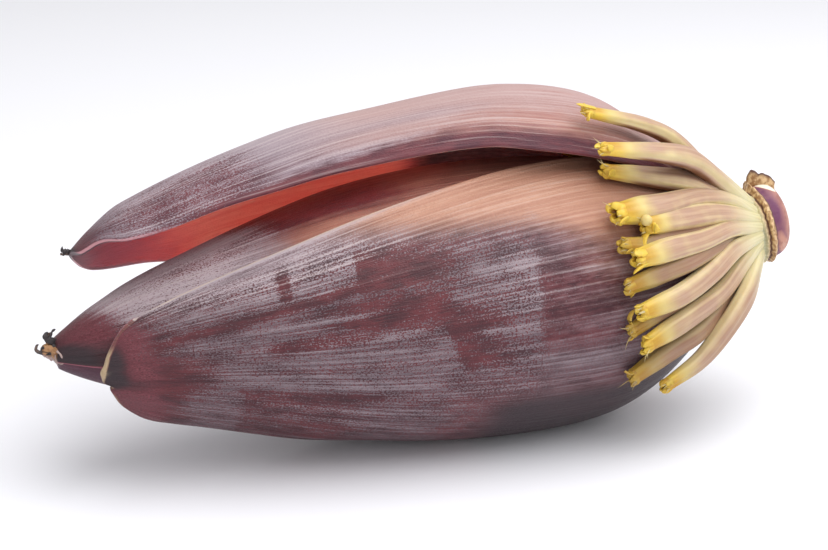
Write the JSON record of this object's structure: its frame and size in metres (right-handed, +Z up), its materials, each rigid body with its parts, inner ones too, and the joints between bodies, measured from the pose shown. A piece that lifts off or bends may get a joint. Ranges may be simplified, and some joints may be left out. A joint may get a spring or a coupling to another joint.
{
  "type": "banana blossom",
  "caption": "Banana blossom lying on its side: a pointed purple bud of wrapped bracts with one bract lifted, cream flowers with yellow tips, and a short cut stem with a dry scar.",
  "frame": {"origin": "on the surface the blossom lies on, under the middle of its box", "axes": "+X along the bud from its tip towards the cut stem, +Z up, -Y towards the side with the open flowers"},
  "size_m": [0.2513, 0.1006, 0.1095],
  "materials": {
    "outer_bract": "maroon skin under a grey waxy bloom that is rubbed off in streaks along the veins",
    "raised_bract": "lilac-grey waxy bloom outside turning tan at the base, smooth crimson and orange-red inside",
    "inner_bract": "smooth purple skin, nearly black at the tip, with a thin pink edge and a dried tip",
    "heart": "smooth dark maroon skin with fine lengthwise veins",
    "stem": "pale cream neck, dry tan ragged scar and a purple stub with a moist cream cut",
    "flower": "waxy cream with pinkish tan stripes and bright yellow curled tips"
  },
  "bodies": {
    "root": {"closed_heart": "heart", "bract_upper": "inner_bract", "bract_front": "outer_bract", "bract_raised": "raised_bract", "peduncle": "stem", "flower_01": "flower", "flower_02": "flower", "flower_03": "flower", "flower_04": "flower", "flower_05": "flower", "flower_06": "flower", "flower_07": "flower", "flower_08": "flower", "flower_09": "flower", "flower_10": "flower", "flower_11": "flower", "flower_12": "flower", "flower_13": "flower", "covered_flower_1": "flower", "covered_flower_2": "flower", "covered_flower_3": "flower", "covered_flower_4": "flower", "covered_flower_5": "flower", "covered_flower_6": "flower"}
  },
  "joints": []
}
